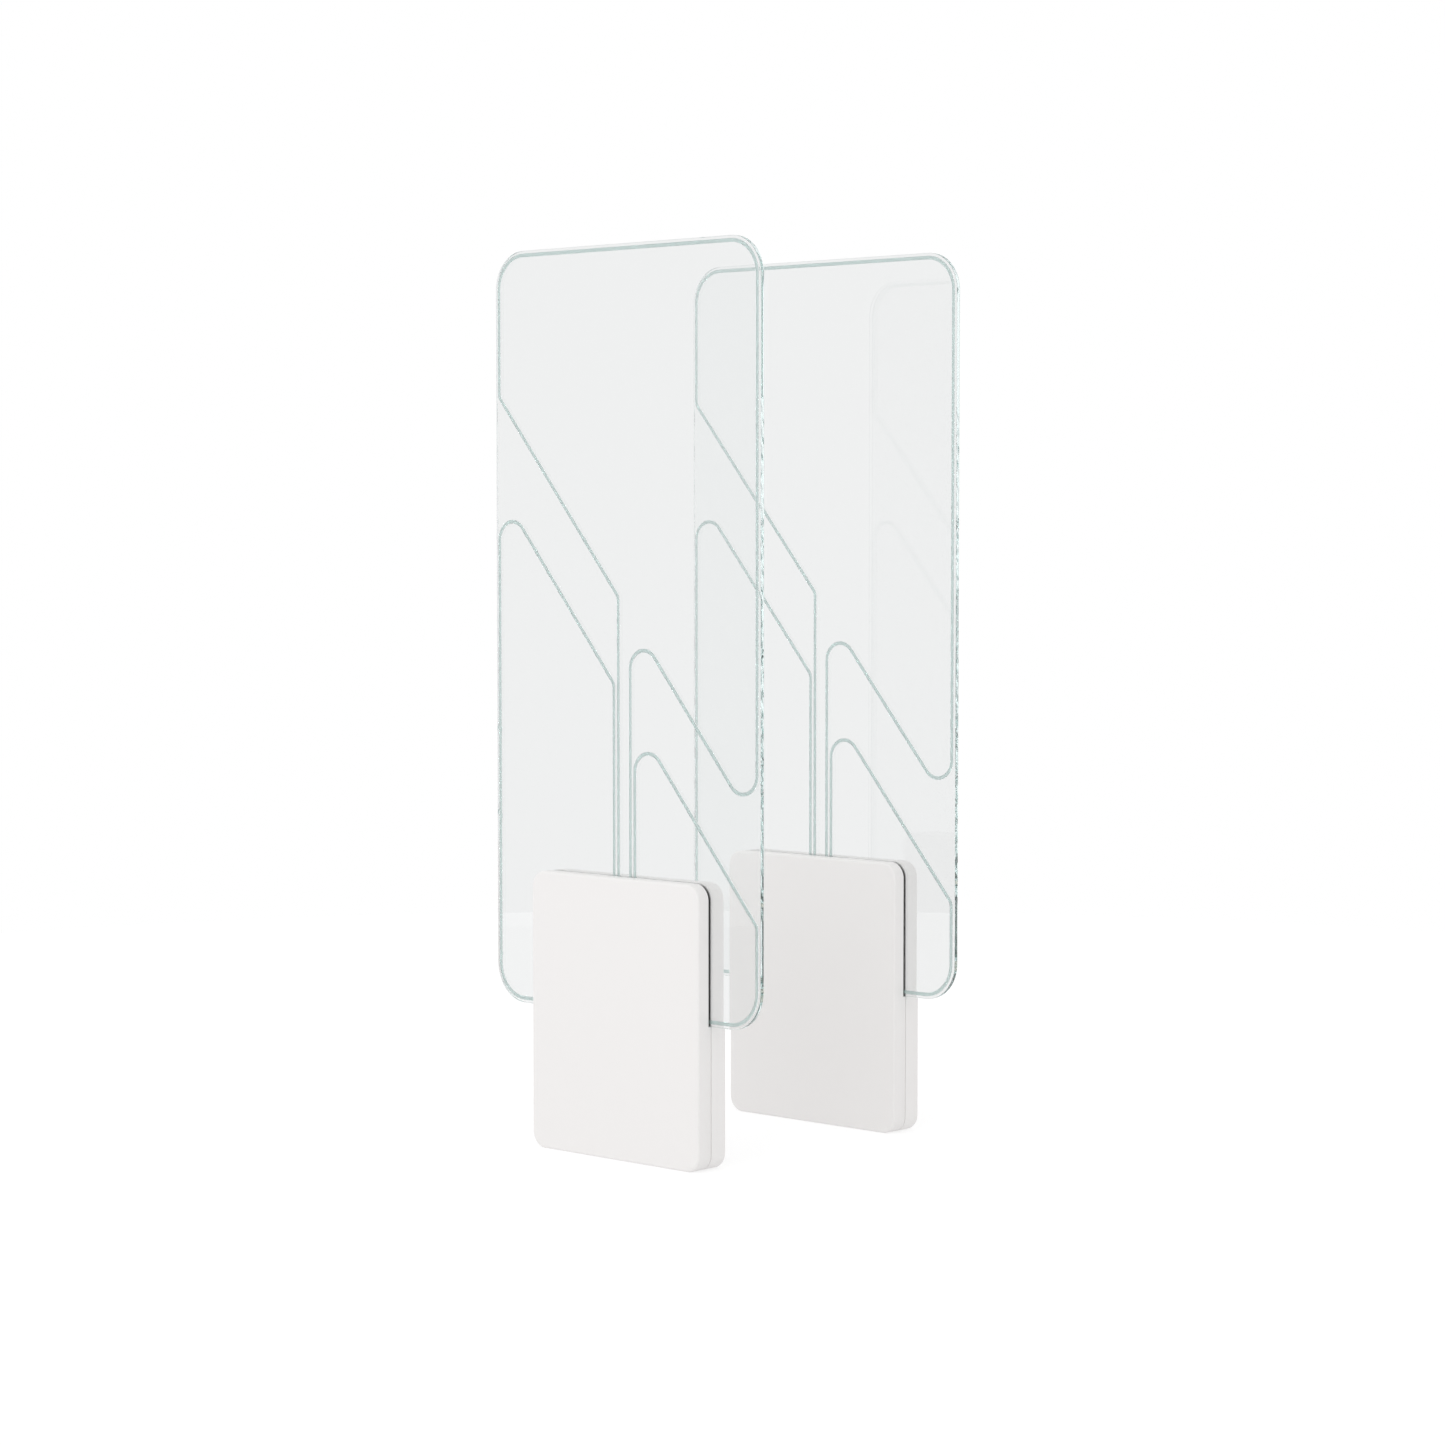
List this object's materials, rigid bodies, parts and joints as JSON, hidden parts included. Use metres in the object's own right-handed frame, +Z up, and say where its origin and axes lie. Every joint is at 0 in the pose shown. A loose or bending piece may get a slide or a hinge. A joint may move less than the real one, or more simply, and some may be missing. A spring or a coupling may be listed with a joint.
{
  "type": "security gate",
  "caption": "Walk-through shop security gate: facing upright clear panels with aerial loops, each clamped in a white two-part floor foot that hides its electronics.",
  "frame": {"origin": "on the floor, midway between the two pedestals and centred on their panels", "axes": "+X along the panels' width, +Y across the walkway from the primary to the secondary pedestal, +Z up"},
  "size_m": [0.6, 0.558, 1.5],
  "materials": {
    "clear_glass": "clear toughened glass with a faint green tint, polished",
    "aerial_jacket": "pale grey-green translucent jacket",
    "white_shell": "warm white moulded, satin",
    "black_rubber": "matt black",
    "grey_silicone": "pale grey silicone, matt",
    "coated_steel": "grey powder coat, fine texture",
    "zinc_steel": "bright zinc plate",
    "nylon": "natural nylon",
    "board_laminate": "green solder mask",
    "black_moulding": "black moulded",
    "trimmer_ceramic": "unglazed ceramic",
    "brass": "machined",
    "tinned_steel": "tin plate",
    "terminal_green": "green moulded",
    "lead_jacket": "smooth black sleeve",
    "red_button": "red moulded",
    "supply_case": "bead-blasted"
  },
  "bodies": {
    "root": {"board_capacitors": "black_moulding", "board_screws": "zinc_steel", "board_standoffs": "brass", "cable_grommets": "black_rubber", "clamp_bolts": "zinc_steel", "clamp_nuts": "zinc_steel", "cover_studs": "zinc_steel", "front_pads": "grey_silicone", "glass_bushes": "nylon", "loop_terminals": "nylon", "power_supply": "supply_case", "power_switch": "black_moulding", "primary_aerial_leads": "lead_jacket", "primary_board_chips": "black_moulding", "primary_circuit_board": "board_laminate", "primary_clamp_plates": "coated_steel", "primary_floor_plate": "coated_steel", "primary_glass_panel": "clear_glass", "primary_lower_loop": "aerial_jacket", "primary_rear_cover": "white_shell", "primary_tamper_switch": "black_moulding", "primary_trimmer_bodies": "trimmer_ceramic", "primary_upper_loop": "aerial_jacket", "primary_upright_frame": "coated_steel", "rear_cover_screws": "zinc_steel", "rear_pads": "grey_silicone", "secondary_aerial_leads": "lead_jacket", "secondary_board_chips": "black_moulding", "secondary_circuit_board": "board_laminate", "secondary_clamp_plates": "coated_steel", "secondary_floor_plate": "coated_steel", "secondary_glass_panel": "clear_glass", "secondary_lower_loop": "aerial_jacket", "secondary_rear_cover": "white_shell", "secondary_tamper_switch": "black_moulding", "secondary_trimmer_bodies": "trimmer_ceramic", "secondary_upper_loop": "aerial_jacket", "secondary_upright_frame": "coated_steel", "setting_blocks": "grey_silicone", "shield_cans": "tinned_steel", "sounder": "black_moulding", "supply_leads": "lead_jacket", "supply_terminal": "terminal_green", "volume_control": "trimmer_ceramic", "wire_terminals": "terminal_green"},
    "primary_cover": {"primary_front_cover": "white_shell", "primary_cover_gasket": "black_rubber"},
    "secondary_cover": {"secondary_front_cover": "white_shell", "secondary_cover_gasket": "black_rubber"},
    "primary_tamper": {"primary_tamper_plunger": "red_button"},
    "secondary_tamper": {"secondary_tamper_plunger": "red_button"},
    "primary_upper_rotor": {"primary_upper_trimmer": "brass"},
    "primary_lower_rotor": {"primary_lower_trimmer": "brass"},
    "secondary_upper_rotor": {"secondary_upper_trimmer": "brass"},
    "secondary_lower_rotor": {"secondary_lower_trimmer": "brass"},
    "rocker": {"power_rocker": "black_moulding"},
    "knob": {"volume_knob": "black_moulding"}
  },
  "joints": [
    {"name": "primary_cover_pull", "type": "slide", "parent": "root", "child": "primary_cover", "axis": [0, -1, 0], "range_m": [0, 0.06]},
    {"name": "primary_tamper_press", "type": "slide", "parent": "root", "child": "primary_tamper", "axis": [0, 1, 0], "range_m": [0, 0.0025], "stiffness_N_per_m": 300, "springref_m": -0.0015},
    {"name": "primary_upper_tune", "type": "hinge", "parent": "root", "child": "primary_upper_rotor", "pos_m": [0.095, -0.2511, 0.066], "axis": [0, 1, 0], "range_deg": [-90, 90]},
    {"name": "primary_lower_tune", "type": "hinge", "parent": "root", "child": "primary_lower_rotor", "pos_m": [0.122, -0.2511, 0.066], "axis": [0, 1, 0], "range_deg": [-90, 90]},
    {"name": "secondary_cover_pull", "type": "slide", "parent": "root", "child": "secondary_cover", "axis": [0, -1, 0], "range_m": [0, 0.06]},
    {"name": "secondary_tamper_press", "type": "slide", "parent": "root", "child": "secondary_tamper", "axis": [0, 1, 0], "range_m": [0, 0.0025], "stiffness_N_per_m": 300, "springref_m": -0.0015},
    {"name": "secondary_upper_tune", "type": "hinge", "parent": "root", "child": "secondary_upper_rotor", "pos_m": [0.095, 0.2409, 0.066], "axis": [0, 1, 0], "range_deg": [-90, 90]},
    {"name": "secondary_lower_tune", "type": "hinge", "parent": "root", "child": "secondary_lower_rotor", "pos_m": [0.122, 0.2409, 0.066], "axis": [0, 1, 0], "range_deg": [-90, 90]},
    {"name": "rocker_tilt", "type": "hinge", "parent": "root", "child": "rocker", "pos_m": [-0.095, -0.2675, 0.15], "axis": [1, 0, 0], "range_deg": [0, 16]},
    {"name": "volume_turn", "type": "hinge", "parent": "root", "child": "knob", "pos_m": [0.055, -0.2511, 0.066], "axis": [0, 1, 0], "range_deg": [-140, 140]}
  ]
}
